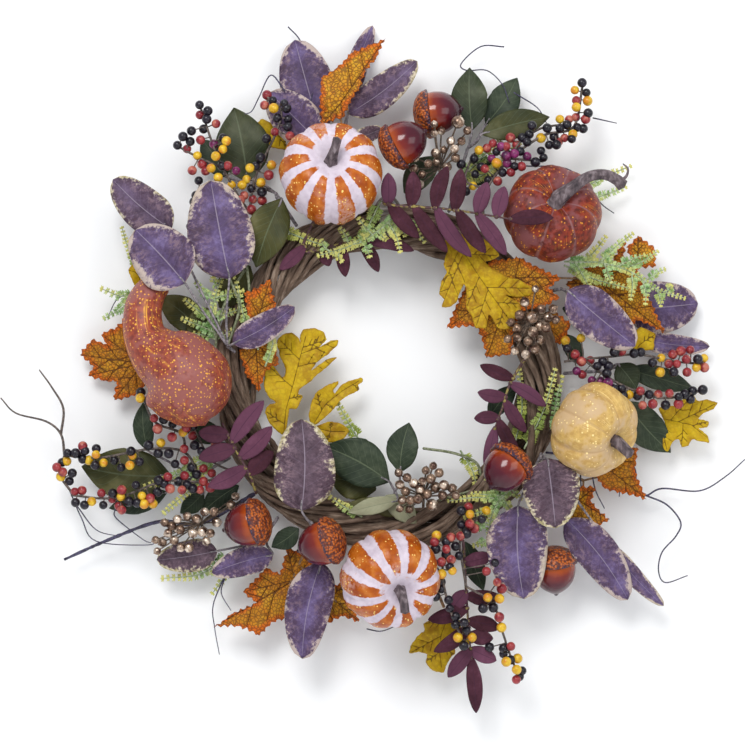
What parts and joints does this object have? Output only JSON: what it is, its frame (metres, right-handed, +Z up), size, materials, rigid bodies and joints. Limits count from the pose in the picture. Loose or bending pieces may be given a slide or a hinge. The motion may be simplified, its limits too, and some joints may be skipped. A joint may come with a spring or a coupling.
{
  "type": "harvest door wreath",
  "caption": "Round grapevine door wreath dressed with gourds, acorns, autumn leaves, berries and cedar, hung by a wire loop.",
  "frame": {"origin": "inside of the top of the hanging loop, where a door hook bears on it", "axes": "+Z up, +X to the right seen from the front, +Y back towards the door, so the front of the wreath faces -Y"},
  "size_m": [0.6391, 0.1152, 0.5889],
  "materials": {
    "grapevine": "rough bark",
    "hanger_steel": "dull bronze wire",
    "striped_pumpkin": "hand painted foam, white ribs with orange stripes",
    "burgundy_pumpkin": "dusty mauve over brick red, speckled",
    "crookneck_gourd": "dusty rose with gold specks",
    "tan_gourd": "tan gold with glitter specks",
    "gourd_stem": "ridged grey brown",
    "acorn": "glossy crimson nut, rough orange cap",
    "purple_leaf": "printed fabric leaf, violet with cream edges",
    "green_leaf": "printed fabric leaf, dark green",
    "maple_leaf": "printed fabric leaf, orange with dark veins",
    "oak_leaf": "printed fabric leaf, golden yellow",
    "burgundy_frond": "matte fabric leaflet, deep burgundy",
    "berry": "glossy black, rose and yellow berries",
    "bronze_berry": "metallic champagne bronze",
    "cedar": "moulded cedar, mint with yellow tips",
    "tendril": "paper wrapped wire, dark violet"
  },
  "bodies": {
    "root": {"vine_bundle_a": "grapevine", "vine_bundle_b": "grapevine", "vine_bundle_c": "grapevine", "hanger_strap": "hanger_steel", "striped_pumpkin_upper": "striped_pumpkin", "striped_pumpkin_upper_stem": "gourd_stem", "striped_pumpkin_lower": "striped_pumpkin", "striped_pumpkin_lower_stem": "gourd_stem", "burgundy_pumpkin": "burgundy_pumpkin", "burgundy_pumpkin_stem": "gourd_stem", "crookneck_gourd": "crookneck_gourd", "tan_gourd": "tan_gourd", "tan_gourd_stem": "gourd_stem", "acorn_top_left": "acorn", "acorn_top_right": "acorn", "acorn_inner_right": "acorn", "acorn_lower_right": "acorn", "acorn_left": "acorn", "acorn_bottom_left": "acorn", "purple_leaves_top": "purple_leaf", "purple_leaves_upper_left": "purple_leaf", "purple_leaves_right": "purple_leaf", "purple_leaves_lower_right": "purple_leaf", "purple_leaves_bottom": "purple_leaf", "purple_leaves_lower_left": "purple_leaf", "green_leaves_upper_left": "green_leaf", "green_leaves_upper_right": "green_leaf", "green_leaves_left": "green_leaf", "green_leaves_right": "green_leaf", "green_leaves_inner_bottom": "green_leaf", "maple_leaf_top": "maple_leaf", "maple_leaf_left": "maple_leaf", "maple_leaf_inner_left": "maple_leaf", "maple_leaves_right": "maple_leaf", "maple_leaves_lower_right": "maple_leaf", "maple_leaves_bottom": "maple_leaf", "oak_leaves_inner_left": "oak_leaf", "oak_leaf_inner_right": "oak_leaf", "oak_leaf_outer_right": "oak_leaf", "oak_leaf_bottom": "oak_leaf", "frond_top": "burgundy_frond", "frond_inner_top": "burgundy_frond", "frond_inner_right": "burgundy_frond", "frond_left": "burgundy_frond", "frond_bottom": "burgundy_frond", "berry_spray_upper_left": "berry", "berry_spray_left": "berry", "berry_spray_upper_right": "berry", "berry_spray_right": "berry", "berry_spray_bottom": "berry", "bronze_berries_top": "bronze_berry", "bronze_berries_right": "bronze_berry", "bronze_berries_inner_bottom": "bronze_berry", "bronze_berries_lower_left": "bronze_berry", "cedar_spray_top": "cedar", "cedar_spray_left": "cedar", "cedar_spray_right": "cedar", "cedar_spray_bottom": "cedar", "tendril_right": "tendril"},
    "hanging_loop": {"hanging_loop": "hanger_steel"}
  },
  "joints": [
    {"name": "loop_swing", "type": "hinge", "parent": "root", "child": "hanging_loop", "pos_m": [0, 0, -0.02675], "axis": [-1, 0, 0], "range_deg": [-20, 170]}
  ]
}
